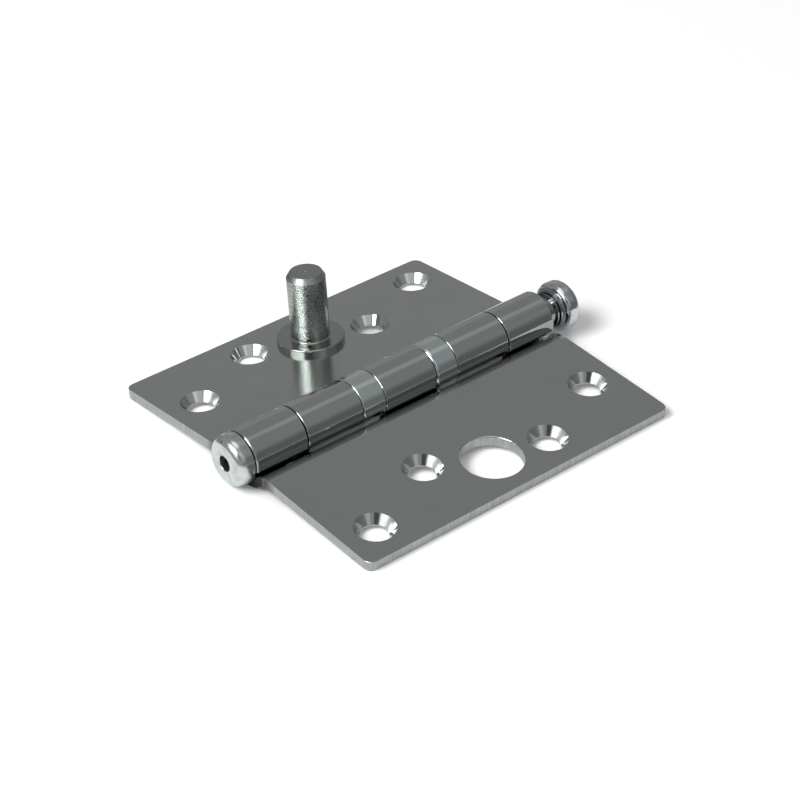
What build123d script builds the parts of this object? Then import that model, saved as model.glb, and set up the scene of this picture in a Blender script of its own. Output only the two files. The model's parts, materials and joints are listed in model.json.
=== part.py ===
from build123d import *
from math import acos, asin, atan, atan2, cos, degrees, hypot, sin, sqrt
import os

# A square butt hinge of swaged steel sheet, with a loose pin, two ball bearings in the
# barrel and a security stud. The origin is on the pin axis at the middle of the barrel.
# +Y runs along the pin to its head, +X to the leaf with the large hole, +Z up. The hinge
# lies open, bent a little past flat, on its barrel and on the outer edges of its leaves.

# Leaves
leaf_height = 89.0          # along the pin
leaf_reach = 44.5           # pin axis to outer edge
sheet = 2.5
leaf_corner = 2.0           # outer corners, seen from above
hole_face_drop = 0.6        # pin axis down to the leaf's face
stud_face_drop = 1.0
face_edge_round = 0.15      # roll-over that the press leaves along the face's edge
back_edge_round = 0.3

# Barrel
barrel_diameter = 12.5
end_knuckle = 14.4
second_knuckle = 15.8
bearing_length = 6.5
knuckle_gap = 0.2           # between two knuckles that have no bearing between them
barrel_end_round = 0.6
roll_gap = 0.74             # rolled end to the bend of the leaf below it
swage_start = 2.5           # pin axis to the first bend beside the barrel
swage_length = 7.4          # both bends together
notch_clearance = 1.05      # barrel to the edge of the other leaf's notch
notch_corner = 0.8

# Screw holes, in a zigzag on each leaf
screw_hole_diameter = 6.5
screw_sink_diameter = 9.5
screw_sink_depth = 2.1
screw_margin = 8.7          # outer row to the leaf's edge, and last screw to its end
screw_zigzag = 9.1          # between the two rows
screw_spread_near = 14.6    # middle of the leaf to its nearer screws

# Loose pin
pin_clearance = 0.05        # radial, in the knuckles
pin_raised = 3.1            # how far the pin stands out of its seat
pin_tip_gap = 0.4           # from the tip of the seated pin to the plug
pin_tip_taper = 1.5
pin_tip_narrowing = 1.0
neck_lower_ring = 0.55      # each step of the neck, out from the shank
neck_lower_ring_width = 0.5
neck_groove = 0.2
neck_groove_width = 0.25
neck_upper_ring = 0.95
neck_upper_ring_width = 0.6
neck_flare = 1.2
neck_flare_width = 0.45
head_clearance = 0.05       # head's rim inside the barrel's outline
head_thickness = 4.4
head_under_round = 1.2
head_top_round = 1.9
head_crown_radius = 32.0

# Plug at the other end
plug_inset = 0.15           # cap's rim inside the barrel's outline
plug_cap = 4.3
plug_spigot = 6.0
plug_spigot_chamfer = 0.4
plug_rim_round = 2.2
plug_seat_round = 0.35
drive_out_hole = 3.7
drive_out_mouth = 0.25

# Security stud
stud_margin = 13.4          # outer edge to stud
stud_diameter = 9.4
stud_length = 18.3          # from the leaf's face
stud_tip_chamfer = 0.8      # radial
stud_tip_chamfer_length = 1.3
stud_collar_diameter = 16.4
stud_collar = 1.4
stud_collar_round = 0.35
stud_foot_round = 0.4
stud_spigot_diameter = 6.0
rivet_spread = 0.9          # how much wider the rivet is at the leaf's back
rivet_depth = 1.0
rivet_recess = 0.05
stud_side_clearance = 0.3   # shut stud to the inner side of its hole
stud_swing_clearance = 1.5  # swinging stud to the outer side of its hole
stud_hole_round = 0.3

# Ball bearings
balls_per_bearing = 18      # as many as the groove takes, with no cage
ball_diameter = 1.588
ball_clearance = 0.03
groove_depth = 0.3
race_bore_clearance = 0.1   # radial, round the pin
race_running_gap = 0.1      # radial, in the sleeve
race_edge_round = 0.15
sleeve_wall = 0.6
sleeve_lip = 0.5
sleeve_lip_reach = 0.45
sleeve_end_gap = 0.1        # sleeve to the knuckles beside it
sleeve_lip_rounds = (0.3, 0.9)  # first and second bearing
sleeve_mouth_round = 0.2

# What follows from these
barrel_radius = barrel_diameter / 2
bore_radius = barrel_radius - sheet
pin_radius = bore_radius - pin_clearance
half_height = leaf_height / 2
end_knuckle_edge = half_height - end_knuckle
second_outer_edge = end_knuckle_edge - knuckle_gap
second_inner_edge = second_outer_edge - second_knuckle
centre_edge = second_inner_edge - bearing_length
swage_end = swage_start + swage_length
notch_edge = barrel_radius + notch_clearance
past_all = leaf_reach + barrel_diameter


class Swage:
    """How a leaf with a given drop from the pin axis to its face is bent and rolled."""

    def __init__(self, face_drop):
        self.face_drop = face_drop
        self.back_drop = face_drop + sheet

        # Two equal bends, one back against the other, go down beside the barrel.
        rise = barrel_radius - self.back_drop
        self.angle = 2 * atan(rise / swage_length)
        radius = swage_length / (2 * sin(self.angle))
        self.inside = radius - sheet / 2
        self.outside = radius + sheet / 2
        self.first_height = self.outside - barrel_radius
        self.last_height = -face_drop - self.outside

        # The roll ends where its outside comes to the gap above the last bend.
        distance = hypot(swage_end, self.last_height)
        reached = self.outside + roll_gap
        squares = barrel_radius**2 + distance**2 - reached**2
        self.roll_end = atan2(-self.last_height, swage_end) - acos(squares / (2 * barrel_radius * distance))
        self.roll_angle = 270 + degrees(self.roll_end)

    def table_height(self):
        """Where the table is when both the outer edge and the first bend are on it."""
        reach = leaf_reach - swage_start
        lift = self.first_height + self.back_drop
        tilt = asin(self.outside / hypot(reach, lift)) - atan2(lift, reach)
        return self.first_height * cos(tilt) - swage_start * sin(tilt) - self.outside

    def sag(self, table):
        """How many degrees the leaf sinks until its outer edge is on the table."""
        edge = hypot(leaf_reach, self.back_drop)
        return degrees(asin(-table / edge) - atan2(self.back_drop, leaf_reach))


# The hinge lies on the lower of its two first bends, and on both outer edges.
hole_swage = Swage(hole_face_drop)
stud_swage = Swage(stud_face_drop)
table = min(hole_swage.table_height(), stud_swage.table_height())
hole_sag = hole_swage.sag(table)
stud_sag = stud_swage.sag(table)

# The screws and the stud keep their distance from the leaf's edges.
screw_row_outer = leaf_reach - screw_margin
screw_row_inner = screw_row_outer - screw_zigzag
screw_spread_far = half_height - screw_margin
stud_offset = leaf_reach - stud_margin

# The stud's hole starts beside the shut stud and ends outside the arc of its swing.
stud_radius = stud_diameter / 2
tip_height = stud_length - stud_face_drop
shoulder_swing = hypot(stud_offset + stud_radius, tip_height - stud_tip_chamfer_length)
tip_swing = hypot(stud_offset + stud_radius - stud_tip_chamfer, tip_height)
stud_hole_near = stud_offset - stud_radius - stud_side_clearance
stud_hole_far = sqrt(max(shoulder_swing, tip_swing) ** 2 - hole_face_drop**2) + stud_swing_clearance
stud_hole_radius = (stud_hole_far - stud_hole_near) / 2
stud_hole_offset = (stud_hole_far + stud_hole_near) / 2

# The balls run midway between the races' bores and rims.
sleeve_bore = barrel_radius - sleeve_wall
lip_radius = sleeve_bore - sleeve_lip_reach
race_bore = pin_radius + race_bore_clearance
upper_race_radius = sleeve_bore - race_running_gap
ball_circle = (race_bore + upper_race_radius) / 2
groove_radius = ball_diameter / 2 + ball_clearance
race_thickness = bearing_length / 2 - groove_radius + groove_depth


def outline(*corners):
    """A closed outline from its corners, given as (radius, place along the axis, rounding)."""
    points = [(radius, place) for radius, place, rounding in corners]
    return make_face(FilletPolyline(*points, radius=[corner[2] for corner in corners], close=True))


def turned(section):
    """A piece turned about the pin axis."""
    return revolve(section, axis=Axis.Y)


def turned_upright(section):
    """A piece turned about an upright axis."""
    return revolve(Plane.XZ * section, axis=Axis.Z)


def sheet_section(swage):
    """The leaf's cross-section: flat, swaged down beside the barrel and rolled round the pin."""
    angle = degrees(swage.angle)
    roll = swage.roll_angle
    face, back = -swage.face_drop, -swage.back_drop
    first_bend = (swage_start, swage.first_height)
    last_bend = (swage_end, swage.last_height)
    end_x, end_z = cos(swage.roll_end), -sin(swage.roll_end)
    edges = [
        Line((leaf_reach, back), (swage_end, back)),
        CenterArc(last_bend, swage.inside, 90, angle),
        CenterArc(first_bend, swage.outside, angle - 90, -angle),
        Line((swage_start, -barrel_radius), (0, -barrel_radius)),
        CenterArc((0, 0), barrel_radius, -90, -roll),
        Line((barrel_radius * end_x, barrel_radius * end_z), (bore_radius * end_x, bore_radius * end_z)),
        CenterArc((0, 0), bore_radius, -90 - roll, roll),
        Line((0, -bore_radius), (swage_start, -bore_radius)),
        CenterArc(first_bend, swage.inside, -90, angle),
        CenterArc(last_bend, swage.outside, 90 + angle, -angle),
        Line((swage_end, face), (leaf_reach, face)),
        Line((leaf_reach, face), (leaf_reach, back)),
    ]
    return make_face(edges)


def notch(start, end):
    """What is cut away to let the other leaf's knuckles and the bearings in."""
    width = notch_edge + past_all
    block = Pos(notch_edge - width / 2, (start + end) / 2, 0) * Box(width, end - start, past_all)
    inner = block.edges().filter_by(Axis.Z).group_by(Axis.X)[-1]
    inside_leaf = [edge for edge in inner if abs(edge.center().Y) < half_height]
    return fillet(inside_leaf, notch_corner)


def screw_hole():
    """A countersunk screw hole, cut from above the face to below the back."""
    widening = (screw_sink_diameter - screw_hole_diameter) / 2 / screw_sink_depth
    hole = outline(
        (0, sheet, 0),
        (screw_sink_diameter / 2 + widening * sheet, sheet, 0),
        (screw_hole_diameter / 2, -screw_sink_depth, 0),
        (screw_hole_diameter / 2, -2 * sheet, 0),
        (0, -2 * sheet, 0),
    )
    return turned_upright(hole)


def leaf_blank(swage, knuckles):
    """A leaf that reaches to +X, not yet tilted, with a knuckle at each (start, end)."""
    face = -swage.face_drop
    blank = extrude(Plane.XZ * sheet_section(swage), amount=half_height, both=True)
    outer_corners = blank.edges().filter_by(Axis.Z).group_by(Axis.X)[-1]
    blank = fillet(outer_corners, leaf_corner)
    stops = [-half_height - past_all, *[y for span in knuckles for y in span], half_height + past_all]
    for start, end in zip(stops[::2], stops[1::2]):
        if end > -half_height and start < half_height:
            blank -= notch(start, end)

    # Each rounding follows on from a knuckle's end along its web and round the notches.
    blank = fillet(barrel_circles(blank, barrel_radius), back_edge_round)
    outer_rim = blank.edges().filter_by(Axis.Y).sort_by_distance((leaf_reach, 0, face))[0]
    blank = fillet([*barrel_circles(blank, bore_radius), outer_rim], face_edge_round)

    rows = screw_row_inner + screw_row_outer
    for x, spread in ((screw_row_outer, screw_spread_far), (screw_row_inner, screw_spread_near)):
        blank -= Pos(x, -spread, face) * screw_hole()
        blank -= Pos(rows - x, spread, face) * screw_hole()
    return blank


def barrel_circles(blank, radius):
    """The round edges of the knuckles' ends that have the given radius."""
    circles = blank.edges().filter_by(GeomType.CIRCLE)
    return [e for e in circles if abs(e.radius - radius) < 1e-4 and abs(e.arc_center.X) < 1e-4]


def barrel_end_cut(place, outward, roll):
    """What rounds off the outside of the barrel's end, as far round as the knuckle is rolled."""
    inner = barrel_radius - barrel_end_round
    inward = place - outward * barrel_end_round
    beyond = place + outward * barrel_end_round
    past = barrel_radius + barrel_end_round
    corner = make_face(Polyline((inner, inward), (past, inward), (past, beyond), (inner, beyond), close=True))
    section = corner - Pos(inner, inward) * Circle(barrel_end_round)
    return Rot(0, 90, 0) * revolve(section, axis=Axis.Y, revolution_arc=roll)


def hole_leaf():
    leaf = leaf_blank(hole_swage, [
        (-half_height, -end_knuckle_edge),
        (-centre_edge, centre_edge),
        (end_knuckle_edge, half_height),
    ])
    leaf -= barrel_end_cut(half_height, 1, hole_swage.roll_angle)
    leaf -= barrel_end_cut(-half_height, -1, hole_swage.roll_angle)
    leaf -= Pos(stud_hole_offset, 0, -hole_face_drop) * Cylinder(stud_hole_radius, 4 * sheet)
    rims = leaf.edges().filter_by(GeomType.CIRCLE)
    entry = rims.sort_by_distance((stud_hole_offset + stud_hole_radius, 0, -hole_face_drop))[0]
    return Rot(0, hole_sag, 0) * fillet(entry, stud_hole_round)


def stud_side(piece):
    """A piece of a leaf that reaches to +X, turned round to -X and sunk to the table."""
    return Rot(0, 0, 180) * Rot(0, stud_sag, 0) * piece


def rivet_section(start, end):
    """The outline of the stud's spigot and rivet, from one height to another below the face."""
    spigot = stud_spigot_diameter / 2
    slope = rivet_spread / rivet_depth
    return outline(
        (0, start, 0),
        (spigot, start, 0),
        (spigot, rivet_depth - sheet, 0),
        (spigot + slope * (rivet_depth - sheet - end), end, 0),
        (0, end, 0),
    )


def stud_leaf():
    knuckles = [(-second_outer_edge, -second_inner_edge), (second_inner_edge, second_outer_edge)]
    leaf = leaf_blank(stud_swage, knuckles)
    leaf -= Pos(stud_offset, 0, -stud_face_drop) * turned_upright(rivet_section(sheet, -2 * sheet))
    return stud_side(leaf)


def security_stud():
    tip = outline(
        (0, 0, 0),
        (stud_collar_diameter / 2, 0, 0),
        (stud_collar_diameter / 2, stud_collar, stud_collar_round),
        (stud_radius, stud_collar, stud_foot_round),
        (stud_radius, stud_length - stud_tip_chamfer_length, 0),
        (stud_radius - stud_tip_chamfer, stud_length, 0),
        (0, stud_length, 0),
    )
    stud = turned_upright(tip) + turned_upright(rivet_section(0, rivet_recess - sheet))
    return stud_side(Pos(stud_offset, 0, -stud_face_drop) * stud)


def bottom_plug():
    cap_radius = barrel_radius - plug_inset
    hole_radius = drive_out_hole / 2
    top = plug_cap + half_height
    section = outline(
        (hole_radius, -top, drive_out_mouth),
        (cap_radius, -top, plug_rim_round),
        (cap_radius, -half_height, plug_seat_round),
        (bore_radius, -half_height, 0),
        (bore_radius, plug_spigot - half_height, plug_spigot_chamfer),
        (hole_radius, plug_spigot - half_height, 0),
    )
    return turned(section)


def hinge_pin():
    tip = -half_height + plug_spigot + pin_tip_gap + pin_raised
    neck = half_height + pin_raised
    groove = neck + neck_lower_ring_width
    upper_ring = groove + neck_groove_width
    flare = upper_ring + neck_upper_ring_width
    head = flare + neck_flare_width
    head_radius = barrel_radius - head_clearance
    crown = head + head_thickness
    section = outline(
        (0, tip, 0),
        (pin_radius - pin_tip_narrowing, tip, 0),
        (pin_radius, tip + pin_tip_taper, 0),
        (pin_radius, neck, 0),
        (pin_radius + neck_lower_ring, neck, 0),
        (pin_radius + neck_lower_ring, groove, 0),
        (pin_radius + neck_groove, groove, 0),
        (pin_radius + neck_groove, upper_ring, 0),
        (pin_radius + neck_upper_ring, upper_ring, 0),
        (pin_radius + neck_upper_ring, flare, 0),
        (pin_radius + neck_flare, head, 0),
        (head_radius, head, head_under_round),
        (head_radius, crown, head_top_round),
        (0, crown, 0),
    )
    above = Pos(0, crown) * Rectangle(4 * head_radius, 2 * head_thickness)
    section -= above - Pos(0, crown - head_crown_radius) * Circle(head_crown_radius)
    return turned(section)


def lower_race():
    """A hardened washer with a ball groove, rebated to pass the sleeve's lip."""
    seat = sleeve_end_gap + sleeve_lip
    blank = outline(
        (race_bore, 0, race_edge_round),
        (lip_radius, 0, race_edge_round),
        (lip_radius, seat, 0),
        (sleeve_bore, seat, 0),
        (sleeve_bore, race_thickness, race_edge_round),
        (race_bore, race_thickness, race_edge_round),
    )
    return turned(blank - Pos(ball_circle, bearing_length / 2) * Circle(groove_radius))


def upper_race():
    blank = outline(
        (race_bore, bearing_length - race_thickness, race_edge_round),
        (upper_race_radius, bearing_length - race_thickness, race_edge_round),
        (upper_race_radius, bearing_length, race_edge_round),
        (race_bore, bearing_length, race_edge_round),
    )
    return turned(blank - Pos(ball_circle, bearing_length / 2) * Circle(groove_radius))


def bearing_sleeve(lip_round):
    """A drawn cup that holds the lower race, open to the upper one."""
    return turned(outline(
        (lip_radius, sleeve_end_gap, 0),
        (barrel_radius, sleeve_end_gap, lip_round),
        (barrel_radius, bearing_length - sleeve_end_gap, sleeve_mouth_round),
        (sleeve_bore, bearing_length - sleeve_end_gap, 0),
        (sleeve_bore, sleeve_end_gap + sleeve_lip, 0),
        (lip_radius, sleeve_end_gap + sleeve_lip, 0),
    ))


def bearing(number, start, lip_round):
    """A ball bearing from its sleeve's lip end up, with its nodes' names."""
    base = Pos(0, start, 0)
    pieces = {
        f"bearing_{number}_sleeve": base * bearing_sleeve(lip_round),
        f"bearing_{number}_lower_race": base * lower_race(),
        f"bearing_{number}_upper_race": base * upper_race(),
    }
    for index in range(balls_per_bearing):
        turn = Rot(0, 360 * index / balls_per_bearing, 0)
        ball = turn * Pos(ball_circle, bearing_length / 2, 0) * Sphere(ball_diameter / 2)
        pieces[f"bearing_{number}_ball_{index + 1:02d}"] = base * ball
    return pieces


pieces = {
    "hole_leaf": hole_leaf(),
    "stud_leaf": stud_leaf(),
    "security_stud": security_stud(),
    "bottom_plug": bottom_plug(),
    "hinge_pin": hinge_pin(),
    **bearing(1, -second_inner_edge, sleeve_lip_rounds[0]),
    **bearing(2, centre_edge, sleeve_lip_rounds[1]),
}

os.makedirs("parts", exist_ok=True)
for name, piece in pieces.items():
    piece.label = name
    export_step(piece, f"parts/{name}.step")
    print(f"{name}: {piece.volume:.1f} mm3")
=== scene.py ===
import json
from math import degrees, pi, radians

import bpy
from mathutils import Matrix, Vector


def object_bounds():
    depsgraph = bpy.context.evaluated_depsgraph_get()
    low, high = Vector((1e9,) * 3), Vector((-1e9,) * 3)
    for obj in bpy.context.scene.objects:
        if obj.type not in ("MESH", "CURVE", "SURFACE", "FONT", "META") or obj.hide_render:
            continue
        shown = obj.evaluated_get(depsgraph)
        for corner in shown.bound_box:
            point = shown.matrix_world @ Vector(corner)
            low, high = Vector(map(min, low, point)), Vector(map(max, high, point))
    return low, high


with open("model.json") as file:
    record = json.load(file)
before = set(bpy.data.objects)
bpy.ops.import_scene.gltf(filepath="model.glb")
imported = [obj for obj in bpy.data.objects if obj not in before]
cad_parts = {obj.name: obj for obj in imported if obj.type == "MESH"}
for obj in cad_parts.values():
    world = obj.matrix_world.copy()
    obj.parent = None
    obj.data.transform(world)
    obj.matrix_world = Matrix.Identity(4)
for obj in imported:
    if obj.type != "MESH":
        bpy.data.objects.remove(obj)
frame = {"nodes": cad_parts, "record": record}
cad_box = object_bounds()

# Camera
# It looks down over the plugged end of the barrel through a long lens, from about half a
# metre away, so the hinge's edges run almost parallel.
mm = 0.001
camera_turn = radians(49.919)
camera_elevation = radians(33.963)
camera_roll = radians(-0.555)
camera_distance = 536.692 * mm
aim_right = 1.19 * mm
aim_up = -3.972 * mm
focal_length_in_pixels = 2341.664
picture_width_in_pixels = 800
sensor_width_in_mm = 36
nearest_seen = 10 * mm

turn = Matrix.Rotation(camera_turn, 3, "Z")
turn = turn @ Matrix.Rotation(pi / 2 - camera_elevation, 3, "X")
turn = turn @ Matrix.Rotation(camera_roll, 3, "Z")
camera_place = turn @ Vector((aim_right, aim_up, camera_distance))
bpy.ops.object.camera_add(location=camera_place, rotation=turn.to_euler())
camera = bpy.context.object
camera.data.sensor_width = sensor_width_in_mm
camera.data.lens = focal_length_in_pixels / picture_width_in_pixels * sensor_width_in_mm
camera.data.clip_start = nearest_seen
bpy.context.scene.camera = camera
bpy.context.scene.view_settings.view_transform = "Standard"


# Studio light
# Grey walls stand all round, with lighter and darker places, and the camera stands before a dark
# one. A wide weak softbox with a strong core stands left of the camera, facing the plug, and a
# soft one hangs overhead. All have soft edges.
class Signal:
    """One output of a node tree. Arithmetic on it adds Math nodes."""

    def __init__(self, tree, output=None):
        self.tree = tree
        self.output = output

    def node(self, kind, settings=None, outlet=0, **inputs):
        """Adds a node: its settings first, then a value or a link for each socket that is given.
        A socket goes by its name, or by i and its number."""
        made = self.tree.nodes.new("ShaderNode" + kind)
        for name, value in (settings or {}).items():
            setattr(made, name, value)
        for name, value in inputs.items():
            socket = made.inputs[int(name[1:]) if name[1:].isdigit() else name.replace("_", " ")]
            if isinstance(value, Signal):
                self.tree.links.new(value.output, socket)
            elif value is not None:
                socket.default_value = value
        return Signal(self.tree, made.outputs[outlet] if made.outputs else None)

    def part(self, outlet):
        """Another output of the same node."""
        return Signal(self.tree, self.output.node.outputs[outlet])

    def math(self, operation, *others):
        """A Math node whose first value is this one."""
        inputs = {f"i{index}": value for index, value in enumerate((self, *others))}
        return self.node("Math", {"operation": operation}, **inputs)

    def vector(self, operation, *others, outlet="Vector"):
        """A Vector Math node whose first vector is this one."""
        inputs = {f"i{index}": value for index, value in enumerate((self, *others))}
        return self.node("VectorMath", {"operation": operation}, outlet, **inputs)

    def __add__(self, other):
        return self.math("ADD", other)

    def __sub__(self, other):
        return self.math("SUBTRACT", other)

    def __rsub__(self, other):
        return self.node("Math", {"operation": "SUBTRACT"}, i0=other, i1=self)

    def __mul__(self, other):
        return self.math("MULTIPLY", other)

    def __abs__(self):
        return self.math("ABSOLUTE")

    __radd__ = __add__
    __rmul__ = __mul__

    def rise(self, start, end):
        """0 up to start and 1 from end on, or the other way round where end is the smaller."""
        low, high = min(start, end), max(start, end)
        before, after = (0.0, 1.0) if start < end else (1.0, 0.0)
        return self.node("MapRange", {"interpolation_type": "SMOOTHSTEP"}, Value=self,
                         From_Min=low, From_Max=high, To_Min=before, To_Max=after)


wall_grey = 0.27
softbox_strength = 0.95
core_strength = 8.5
overhead_strength = 0.9
studio_tint = (0.985, 1.0, 0.985, 1)

world = bpy.data.worlds.new("studio")
bpy.context.scene.world = world
world.use_nodes = True
world.node_tree.nodes.clear()
studio = Signal(world.node_tree)
toward = studio.node("SeparateXYZ", i0=studio.node("TexCoord", outlet="Generated"))
azimuth = toward.part("Y").math("ARCTAN2", toward.part("X")) * degrees(1)
elevation = toward.part("Z").math("ARCSINE") * degrees(1)


def patch(centre, half_size, fade):
    """A soft-edged rectangle of the studio, seen from the hinge.
    Each pair is in degrees, sideways and up. 0 sideways is +X, and 90 is +Y."""
    aside = abs((azimuth - centre[0]).math("WRAP", 180.0, -180.0))
    above = abs(elevation - centre[1])
    wide = aside.rise(half_size[0] + fade[0], half_size[0])
    return wide * above.rise(half_size[1] + fade[1], half_size[1])


low_on_the_right = elevation.rise(32, 12) * patch(centre=(35, 0), half_size=(40, 90), fade=(25, 1))
behind_the_hinge = patch(centre=(146, 8), half_size=(14, 10), fade=(12, 14))
above_the_head = patch(centre=(91, 57.5), half_size=(9, 2), fade=(11, 9))
above_the_camera = patch(centre=(-24, 49), half_size=(26, 8), fade=(10, 6))
right_of_the_camera = patch(centre=(0, 30), half_size=(9, 14), fade=(7, 6))
round_the_camera = patch(centre=(-46, 31), half_size=(10, 6), fade=(6, 6))
beyond_the_head = patch(centre=(76, 33), half_size=(16, 9), fade=(9, 6))
softbox = patch(centre=(-90, 33), half_size=(20, 17), fade=(5, 6))
softbox_core = patch(centre=(-88, 43), half_size=(19, 7.5), fade=(5, 3.5))
overhead = elevation.rise(68, 76)

walls = wall_grey * (1 - 0.45 * low_on_the_right)
walls = walls + 0.05 * behind_the_hinge + 0.12 * above_the_head
walls = walls + 0.25 * above_the_camera + 0.2 * right_of_the_camera
walls = walls * (1 - 0.75 * round_the_camera) * (1 - 0.35 * beyond_the_head)
lights = softbox_strength * softbox + core_strength * softbox_core + overhead_strength * overhead
light = studio.node("Background", Color=studio_tint, Strength=walls + lights)
studio.node("OutputWorld", i0=light)

# Table lamp
# A wide lamp left of the camera and above it lights the card. The steel doesn't mirror it.
lamp_place = Vector((-150 * mm, -450 * mm, 650 * mm))
lamp_width = 350 * mm
lamp_watts = 3.0
lamp_turn = lamp_place.to_track_quat("Z", "Y").to_euler()

bpy.ops.object.light_add(type="AREA", location=lamp_place, rotation=lamp_turn)
lamp = bpy.context.object
lamp.name = "table_lamp"
lamp.data.shape = "DISK"
lamp.data.size = lamp_width
lamp.data.energy = lamp_watts
lamp.visible_glossy = False

# Floor
# The hinge lies on white card. The camera sees it white, with the hinge's soft shadow on it, and
# painted shade under the barrel, where the card doesn't glow. The steel mirrors a painted reflection
# of it: dimmer, and grey past the card's edges.
white = (1, 1, 1, 1)
card_white = (0.9, 0.9, 0.9, 1)
card_glow = 0.1
painted_reflection_grey = 0.16
painted_grey_in_mirrored_card = 0.3
floor_width = 6000 * mm
below_hinge = 0.02 * mm
card_half_width = 56 * mm
card_half_length = 75 * mm
card_side_fade = 24 * mm
card_end_fade = 48 * mm
shade_half_width = 9 * mm
shade_half_length = 42 * mm
shade_side_fade = 11 * mm
shade_end_fade = 8 * mm


def start_finish(name):
    """A new material with no nodes, and the signal that its nodes are added from."""
    material = bpy.data.materials.new(name)
    material.use_nodes = True
    material.node_tree.nodes.clear()
    return material, Signal(material.node_tree)


bpy.ops.object.select_all(action="DESELECT")
bpy.ops.mesh.primitive_plane_add(size=floor_width, location=(0, 0, cad_box[0].z - below_hinge))
floor = bpy.context.object
floor.name = "floor"
bpy.ops.object.transform_apply(location=True)

card, paper = start_finish("white_card")
camera_ray = paper.node("LightPath", outlet="Is Camera Ray")
mirrored_ray = camera_ray.part("Is Glossy Ray")
seen = (camera_ray + mirrored_ray + camera_ray.part("Is Transmission Ray")).math("MINIMUM", 1.0)
spot = paper.node("SeparateXYZ", i0=paper.node("TexCoord", outlet="Object"))
from_barrel = abs(spot.part("X"))
from_middle = abs(spot.part("Y"))
# Painted shade: the card stops glowing under the barrel.
painted_shade_under_barrel = (from_barrel.rise(shade_half_width + shade_side_fade, shade_half_width)
                * from_middle.rise(shade_half_length + shade_end_fade, shade_half_length))
past_side = from_barrel.rise(card_half_width, card_half_width + card_side_fade)
past_end = from_middle.rise(card_half_length, card_half_length + card_end_fade)
past_card = past_side.math("MAXIMUM", past_end)
# Painted reflection: what the steel mirrors of the card is dimmer, and grey past its edges.
painted_reflection_share = mirrored_ray * (painted_grey_in_mirrored_card + (1 - painted_grey_in_mirrored_card) * past_card)
lit = paper.node("BsdfDiffuse", Color=card_white)
glow = paper.node("Emission", Color=white, Strength=card_glow)
glowing = paper.node("AddShader", i0=lit, i1=glow)
bright = paper.node("MixShader", i0=seen * (1 - painted_shade_under_barrel), i1=lit, i2=glowing)
painted_reflection = paper.node("Emission", Color=white, Strength=painted_reflection_grey)
paper.node("OutputMaterial", i0=paper.node("MixShader", i0=painted_reflection_share, i1=bright, i2=painted_reflection))
floor.data.materials.append(card)

# Hole leaf
# The leaf that is screwed to the door: 2.5 mm steel sheet, sheared, punched and rolled into
# three knuckles, then tumbled and plated to a dark shine. Its sheared walls stay satin, and
# painted shade darkens its knuckles' joints, its walls at the roots and its barrel's underside.
relief_depth = 0.01 * mm
plated_steel = (0.56, 0.585, 0.57, 1)
sheared_steel = (0.49, 0.515, 0.505, 1)
half_height = max(corner.co.y for corner in frame["nodes"]["hole_leaf"].data.vertices)
sheet_start = 8.5 * mm
# Painted shade on the sheared walls at the roots of the leaves.
root_dark_to = 9 * mm
root_clear_from = 13 * mm
# Painted shade on the barrel's underside, full below one height over the pin's axis and none above
# another.
underside_shade_full_below = 1.2 * mm
underside_shade_none_above = 2.3 * mm
underside_shade_strength = 0.27


def metal(surface, colour, roughness, height, normal=None):
    """Closes a material as bare metal. A height of 1 stands for relief_depth."""
    relief = surface.node("Bump", Height=height, Distance=relief_depth, Normal=normal)
    shader = surface.node("BsdfPrincipled", Base_Color=colour, Metallic=1.0, Roughness=roughness,
                          Normal=relief)
    surface.node("OutputMaterial", i0=shader)


def noise(place, size, detail=2.0):
    """Soft noise from 0 to 1 whose spots are about as wide as size."""
    return place.node("TexNoise", Vector=place, Scale=1 / size, Detail=detail)


def drawn_out(place, squeeze):
    """Coordinates squeezed on each axis, so that a pattern on them is drawn out."""
    return place.vector("MULTIPLY", squeeze)


def blend_colours(share, first, second):
    """The first colour, going over into the second as the share rises."""
    return share.node("Mix", {"data_type": "RGBA"}, outlet=2, i0=share, i6=first, i7=second)


def shaded(colour, shade):
    """The colour times a shade, where 1 leaves it as it is."""
    grey = shade.node("CombineXYZ", i0=shade, i1=shade, i2=shade)
    settings = {"data_type": "RGBA", "blend_type": "MULTIPLY"}
    return shade.node("Mix", settings, outlet=2, i0=1.0, i6=colour, i7=grey)


def wear(node_names, material):
    """Gives the nodes of the frame their material."""
    for name in node_names:
        for slot in frame["nodes"][name].material_slots:
            slot.material = material


def painted_underside_shade(height):
    """How strong the painted shade is at a height over the pin's axis: it covers the underside."""
    return underside_shade_strength * height.rise(underside_shade_none_above, underside_shade_full_below)


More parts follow.
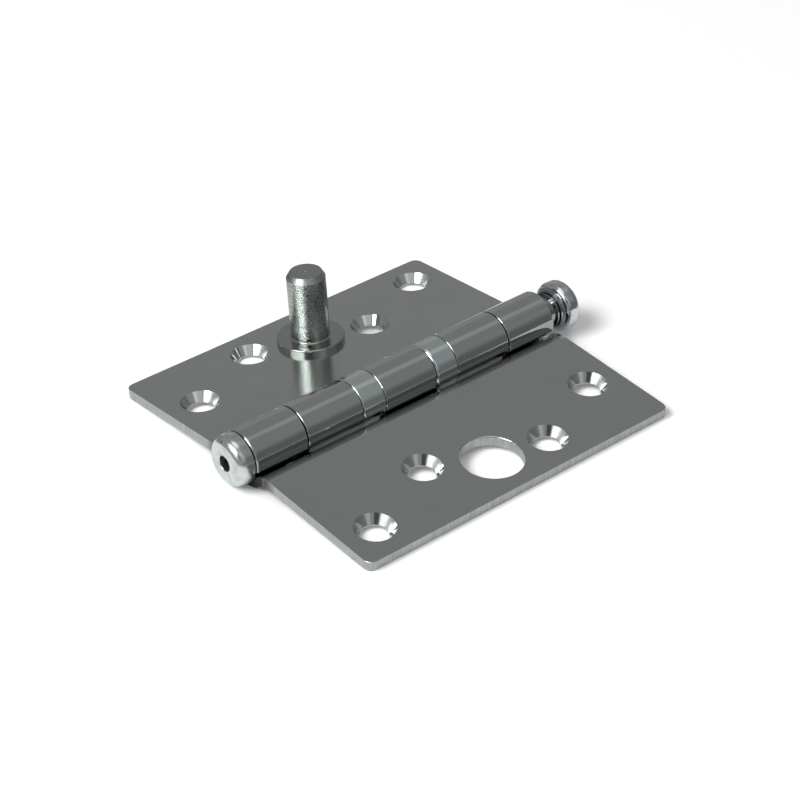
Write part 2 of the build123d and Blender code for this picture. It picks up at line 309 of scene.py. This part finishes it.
def leaf_finish(name, face_up):
    """Plated sheet, with one look each for its faces, its barrel, its sheared walls and its sinks."""
    material, surface = start_finish(name)
    place = surface.node("TexCoord", outlet="Object")
    normal = place.part("Normal")
    spot = surface.node("SeparateXYZ", i0=place)
    from_pin = abs(spot.part("X"))
    facing_up = abs(normal.vector("DOT_PRODUCT", face_up, outlet="Value"))
    facing_end = abs(surface.node("SeparateXYZ", i0=normal).part("Y"))

    # facing_up is 1 on a face, about 0.6 in a countersink and 0 on a sheared wall.
    sheet = from_pin.rise(sheet_start - 1 * mm, sheet_start)
    barrel = 1 - sheet
    end = facing_end.rise(0.72, 0.86)
    shaded_joint = end * barrel * spot.part("Y").rise(half_height - 0.5 * mm, half_height - 0.7 * mm)
    wall = (facing_up.rise(0.45, 0.3) * sheet).math("MAXIMUM", end * (1 - shaded_joint))
    sink = facing_up.rise(0.95, 0.85) * (1 - wall) * sheet
    shaded_root = from_pin.rise(root_clear_from, root_dark_to)

    unevenness = noise(place, size=9 * mm, detail=1.0)
    fine = noise(place, size=0.35 * mm, detail=3.0)
    rolled = noise(drawn_out(place, (1.0, 0.12, 1.0)), size=1.6 * mm, detail=1.0)
    torn = noise(drawn_out(place, (1.0, 1.0, 0.12)), size=0.5 * mm, detail=3.0)
    reamed = noise(normal, size=0.09, detail=1.0)

    height = 0.9 * unevenness * sheet + 0.25 * rolled * barrel + 0.015 * fine
    height = height + 2.4 * torn * wall + 0.12 * reamed * sink
    roughness = 0.18 - 0.11 * barrel + 0.04 * (fine - 0.5)
    roughness = roughness + wall * (0.17 + 0.2 * torn) - 0.07 * sink

    # In the photograph the joints, the roots and the underside are darker than clean steel renders.
    # Painted shade darkens the joints between knuckles, the walls at the roots and the barrel's
    # underside.
    shade = (0.96 + 0.08 * unevenness) * (1 + 0.9 * wall * (torn - 0.5) + 0.25 * sink)
    shade = shade * (1 - 0.92 * shaded_joint) * (1 - 0.75 * shaded_root * wall) * (1 - barrel * painted_underside_shade(spot.part("Z")))
    colour = blend_colours(wall, plated_steel, sheared_steel)
    metal(surface, shaded(colour, shade), roughness, height)
    return material


mounts = {mount["name"]: mount for mount in frame["record"]["mounts"]}
hole_leaf_up = mounts["hole_leaf_screws_far"]["axis"]
wear(["hole_leaf"], leaf_finish("hole_leaf_plate", hole_leaf_up))

# Stud leaf
# The leaf that is screwed to the frame, from the same sheet: two knuckles, and a countersunk
# hole in which the security stud is riveted. It lies a little flatter than its fellow.
stud_leaf_up = mounts["stud_leaf_screws_far"]["axis"]
wear(["stud_leaf"], leaf_finish("stud_leaf_plate", stud_leaf_up))

# Security stud
# Turned from bar with a collar and riveted through its leaf, then zinc plated. It enters the
# other leaf when the door shuts. Its tip keeps the lathe's rings, and its side a fine grain.
stud_middle = Vector(mounts["stud_shank"]["pos_m"])
stud_up = Vector(mounts["stud_shank"]["axis"])
shank_half_length = mounts["stud_shank"]["dims"]["length_mm"] / 2 * mm
stud_zinc = (0.43, 0.455, 0.44, 1)
grain_size = 0.3 * mm
ring_pitch = 0.75 * mm
pip_radius = 0.5 * mm

stud_material, surface = start_finish("zinc_on_turned_steel")
place = surface.node("TexCoord", outlet="Object")
from_middle = place.vector("SUBTRACT", stud_middle)
above_foot = from_middle.vector("DOT_PRODUCT", stud_up, outlet="Value") + shank_half_length
radius = from_middle.vector("CROSS_PRODUCT", stud_up).vector("LENGTH", outlet="Value")
facing_up = place.part("Normal").vector("DOT_PRODUCT", stud_up, outlet="Value")
shank = above_foot.rise(0.4 * mm, 1 * mm)
tip = facing_up.rise(0.8, 0.95) * shank
chamfer = facing_up.rise(0.3, 0.5) * shank - tip
pip = radius.rise(pip_radius, pip_radius - 0.2 * mm) * tip
grain = noise(place, grain_size, detail=3.0).rise(0.36, 0.64)
rings = (radius * (2 * pi / ring_pitch)).math("SINE")
height = 1.1 * grain * shank * (1 - 0.8 * tip) + 1.6 * rings * tip + 0.1 * grain
roughness = 0.11 + 0.1 * shank + 0.14 * chamfer + 0.05 * (grain - 0.5)
side_shade = 0.6 * (grain - 0.5) * shank * (1 - tip)
tip_shade = tip * (0.2 * rings + 0.15 * (grain - 0.5)) + 0.4 * pip
metal(surface, shaded(stud_zinc, 1 + side_shade + tip_shade), roughness, height)
wear(["security_stud"], stud_material)

# Bottom plug
# A cap with a drive-out hole, pressed into the barrel's end and barrel plated with bright zinc,
# so its face is a little mottled and its rim has small knocks. Its joint with the barrel has painted
# shade.
plug_bright = (0.79, 0.82, 0.825, 1)
plug_cloud = (0.63, 0.67, 0.67, 1)
# Black for the dark specks, and for painted shade in the plug's joint, the head's neck and under the
# sleeves.
specks_and_shade_black = (0.03, 0.03, 0.03, 1)
joint_half_height = 0.22 * mm
joint_fade = 0.1 * mm
neck_height = 4.7 * mm
neck_fade = 0.3 * mm


def cap_finish(name, bright, cloud, level, knock, crown_top=None, crown_radius=None):
    """Zinc with cloudy patches, knocks and dark specks, and painted shade in the plug's joint and
    head's neck.
    The level is its roughness, and the knock how deep the marks are."""
    material, surface = start_finish(name)
    place = surface.node("TexCoord", outlet="Object")
    along_pin = surface.node("SeparateXYZ", i0=place).part("Y")
    clouds = noise(place, size=2.2 * mm, detail=3.0)
    pits = noise(place, size=0.5 * mm)
    specks = noise(place, size=1.5 * mm, detail=0.0).rise(0.79, 0.84)
    # Painted shade: the plug's joint is darkened in the colour. The specks are real marks.
    shaded_joint = abs(along_pin + half_height).rise(joint_half_height + joint_fade, joint_half_height)
    above_barrel = along_pin.rise(half_height - 0.5 * mm, half_height + 0.5 * mm)
    neck_top = half_height + neck_height
    # Painted shade: the head's neck is darkened in the colour.
    shaded_neck = above_barrel * along_pin.rise(neck_top + neck_fade, neck_top)
    hollow_shade = shaded_joint.math("MAXIMUM", 0.55 * shaded_neck)
    specks_and_hollow_shade = (0.6 * specks).math("MAXIMUM", 0.93 * hollow_shade)
    colour = blend_colours(clouds.rise(0.35, 0.7), bright, cloud)
    colour = blend_colours(specks_and_hollow_shade, colour, specks_and_shade_black)
    roughness = level + 0.12 * (clouds - 0.5) + 0.08 * (pits - 0.5)
    height = knock * (clouds + 0.35 * pits)
    normal = None
    if crown_top:
        # The mesh's normal is wrong in the middle of the crown, so the crown's sphere gives it.
        crown_centre = (0, crown_top - crown_radius, 0)
        outwards = place.vector("SUBTRACT", crown_centre).vector("NORMALIZE")
        pole = along_pin.rise(crown_top - 0.035 * mm, crown_top - 0.03 * mm)
        smooth = surface.node("NewGeometry", outlet="Normal")
        settings = {"data_type": "VECTOR"}
        normal = surface.node("Mix", settings, outlet=1, i0=pole, i4=smooth, i5=outwards)
    metal(surface, colour, roughness, height, normal)
    return material


wear(["bottom_plug"], cap_finish("zinc_on_plug", plug_bright, plug_cloud, level=0.24, knock=1.6))

# Hinge pin
# A loose pin that drops in from the top, turned from bar and plated. Its head has the same
# shape as the plug's and stands a little proud of the top knuckle on a stepped neck in painted shade.
pin_bright = (0.72, 0.76, 0.79, 1)
pin_cloud = (0.66, 0.71, 0.74, 1)
head_top = max(corner.co.y for corner in frame["nodes"]["hinge_pin"].data.vertices)
head_crown_radius = 32 * mm
pin_material = cap_finish("zinc_on_pin", pin_bright, pin_cloud, level=0.08, knock=0.8,
                          crown_top=head_top, crown_radius=head_crown_radius)
wear(["hinge_pin"], pin_material)

# Bearings
# Two sets between the knuckles: a drawn sleeve that hides two grooved washers and a full ring
# of balls. The sleeves are polished along their length, and the rest is hardened and ground.
sleeve_steel = (0.75, 0.82, 0.83, 1)
hard_steel = (0.56, 0.56, 0.57, 1)

sleeve_material, surface = start_finish("drawn_sleeve")
place = surface.node("TexCoord", outlet="Object")
lines = noise(drawn_out(place, (1.0, 0.1, 1.0)), size=0.5 * mm)
waves = noise(drawn_out(place, (1.0, 0.2, 1.0)), size=2.5 * mm, detail=1.0)
# Painted shade darkens the sleeve's underside.
shaded_underside = painted_underside_shade(surface.node("SeparateXYZ", i0=place).part("Z"))
colour = blend_colours(shaded_underside, sleeve_steel, specks_and_shade_black)
metal(surface, colour, 0.1 + 0.06 * (lines - 0.5), 0.12 * lines + 0.35 * waves)

bearing_material, surface = start_finish("ground_bearing_steel")
place = surface.node("TexCoord", outlet="Object")
ground = noise(place, size=0.15 * mm)
metal(surface, hard_steel, 0.12 + 0.1 * (ground - 0.5), 0.1 * ground)

wear([name for name in frame["nodes"] if name.endswith("sleeve")], sleeve_material)
wear([name for name in frame["nodes"] if "race" in name or "ball" in name], bearing_material)
